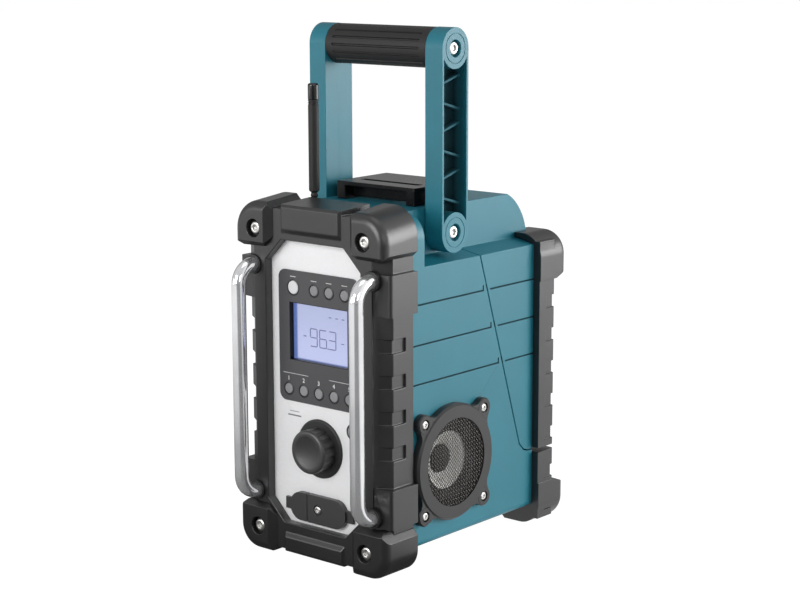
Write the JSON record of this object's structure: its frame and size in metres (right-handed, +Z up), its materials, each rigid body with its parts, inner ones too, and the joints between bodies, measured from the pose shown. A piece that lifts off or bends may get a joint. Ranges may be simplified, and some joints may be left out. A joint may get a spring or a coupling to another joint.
{
  "type": "jobsite radio",
  "caption": "Cordless jobsite radio with armoured corners, folding carry handle, rear battery door, side speakers and front controls",
  "frame": {"origin": "on the floor, under the centre of the whole radio's box, guard bars and rear corners included", "axes": "+X to the right seen from the front, +Y to the rear, +Z up"},
  "size_m": [0.163, 0.2598, 0.4333],
  "materials": {
    "teal_plastic": "fine satin moulded plastic",
    "armour_rubber": "matt textured elastomer over the corners and columns",
    "black_plastic": "matt moulded plastic",
    "chrome": "polished chrome plate",
    "steel": "zinc plated screws and pins",
    "silver_panel": "light silver paint on plastic",
    "bezel_grey": "dark grey satin bezel",
    "lcd_clear": "clear display window",
    "lcd_backlight": "pale violet-blue backlight",
    "circuit_board": "green solder resist",
    "grey_button": "grey domed keys",
    "white_button": "white translucent key",
    "grip_rubber": "slotted rubber sleeve",
    "speaker_mesh": "woven wire painted black",
    "speaker_paper": "treated paper cone",
    "magnet_steel": "plated magnet and yoke",
    "glossy_black": "glossy cap",
    "pack_plastic": "battery pack shell",
    "terminal_yellow": "battery terminal block"
  },
  "bodies": {
    "housing": {"main_housing": "teal_plastic", "front_frame": "armour_rubber", "front_bumpers_upper": "armour_rubber", "front_bumpers_lower": "armour_rubber", "front_bumper_screws": "steel", "rear_feet": "armour_rubber", "guard_bar_right": "chrome", "guard_bar_left": "chrome", "guard_bar_grommets": "armour_rubber", "front_panel": "silver_panel", "control_bezel": "bezel_grey", "lcd_window": "lcd_clear", "lcd_module": "lcd_backlight", "control_board": "circuit_board", "encoder_body": "steel", "knob_flange": "black_plastic", "aux_cover": "grip_rubber", "aux_cover_screw": "steel", "aux_jack": "black_plastic", "speaker_ring_right": "black_plastic", "speaker_ring_left": "black_plastic", "speaker_mesh_right": "speaker_mesh", "speaker_mesh_left": "speaker_mesh", "speaker_ring_screws": "steel", "speaker_baskets": "black_plastic", "speaker_cones": "speaker_paper", "speaker_magnets": "magnet_steel", "handle_pivot_bolts": "steel", "door_hinge_pin": "steel", "antenna_mount": "black_plastic", "battery_pack": "pack_plastic", "battery_terminal": "terminal_yellow", "main_board": "circuit_board", "dc_jack": "black_plastic"},
    "handle": {"handle_arm_right": "teal_plastic", "handle_arm_left": "teal_plastic", "handle_grip": "grip_rubber", "handle_tube": "black_plastic", "handle_grip_screws": "steel"},
    "battery_door": {"battery_door": "teal_plastic", "rear_bumpers": "armour_rubber", "latch_pin": "steel"},
    "latch": {"battery_latch": "black_plastic"},
    "knob": {"volume_knob": "black_plastic", "encoder_shaft": "steel"},
    "aux_flap": {"aux_flap": "grip_rubber"},
    "antenna": {"antenna_rod": "grip_rubber", "antenna_cap": "glossy_black"},
    "preset_button_1": {"preset_button_1": "grey_button"},
    "preset_button_2": {"preset_button_2": "grey_button"},
    "preset_button_3": {"preset_button_3": "grey_button"},
    "preset_button_4": {"preset_button_4": "grey_button"},
    "preset_button_5": {"preset_button_5": "grey_button"},
    "function_button_1": {"function_button_1": "grey_button"},
    "function_button_2": {"function_button_2": "grey_button"},
    "function_button_3": {"function_button_3": "grey_button"},
    "power_button": {"power_button": "white_button"},
    "select_button": {"select_button": "grey_button"}
  },
  "joints": [
    {"name": "handle_fold", "type": "hinge", "parent": "housing", "child": "handle", "pos_m": [0, -0.01185, 0.2693], "axis": [-1, 0, 0], "range_deg": [0, 87]},
    {"name": "door_open", "type": "hinge", "parent": "housing", "child": "battery_door", "pos_m": [0, 0.1152, 0.0667], "axis": [-1, 0, 0], "range_deg": [0, 85]},
    {"name": "latch_lift", "type": "hinge", "parent": "battery_door", "child": "latch", "pos_m": [0, 0.034, 0.293], "axis": [-1, 0, 0], "range_deg": [0, 45]},
    {"name": "volume_turn", "type": "hinge", "parent": "housing", "child": "knob", "pos_m": [0, -0.11, 0.0946], "axis": [0, -1, 0], "continuous": true},
    {"name": "aux_flap_open", "type": "hinge", "parent": "housing", "child": "aux_flap", "pos_m": [-0.012, -0.10165, 0.0434], "axis": [0, 0, 1], "range_deg": [0, 90]},
    {"name": "antenna_bend", "type": "hinge", "parent": "housing", "child": "antenna", "pos_m": [-0.0444, -0.0534, 0.294], "axis": [-1, 0, 0], "range_deg": [-20, 20], "stiffness_Nm_per_rad": 0.6},
    {"name": "preset_press_1", "type": "slide", "parent": "housing", "child": "preset_button_1", "axis": [0, 1, 0], "range_m": [0, 0.0012], "stiffness_N_per_m": 900},
    {"name": "preset_press_2", "type": "slide", "parent": "housing", "child": "preset_button_2", "axis": [0, 1, 0], "range_m": [0, 0.0012], "stiffness_N_per_m": 900},
    {"name": "preset_press_3", "type": "slide", "parent": "housing", "child": "preset_button_3", "axis": [0, 1, 0], "range_m": [0, 0.0012], "stiffness_N_per_m": 900},
    {"name": "preset_press_4", "type": "slide", "parent": "housing", "child": "preset_button_4", "axis": [0, 1, 0], "range_m": [0, 0.0012], "stiffness_N_per_m": 900},
    {"name": "preset_press_5", "type": "slide", "parent": "housing", "child": "preset_button_5", "axis": [0, 1, 0], "range_m": [0, 0.0012], "stiffness_N_per_m": 900},
    {"name": "function_press_1", "type": "slide", "parent": "housing", "child": "function_button_1", "axis": [0, 1, 0], "range_m": [0, 0.0012], "stiffness_N_per_m": 900},
    {"name": "function_press_2", "type": "slide", "parent": "housing", "child": "function_button_2", "axis": [0, 1, 0], "range_m": [0, 0.0012], "stiffness_N_per_m": 900},
    {"name": "function_press_3", "type": "slide", "parent": "housing", "child": "function_button_3", "axis": [0, 1, 0], "range_m": [0, 0.0012], "stiffness_N_per_m": 900},
    {"name": "power_press", "type": "slide", "parent": "housing", "child": "power_button", "axis": [0, 1, 0], "range_m": [0, 0.0012], "stiffness_N_per_m": 900},
    {"name": "select_press", "type": "slide", "parent": "housing", "child": "select_button", "axis": [0, 1, 0], "range_m": [0, 0.0012], "stiffness_N_per_m": 900}
  ]
}
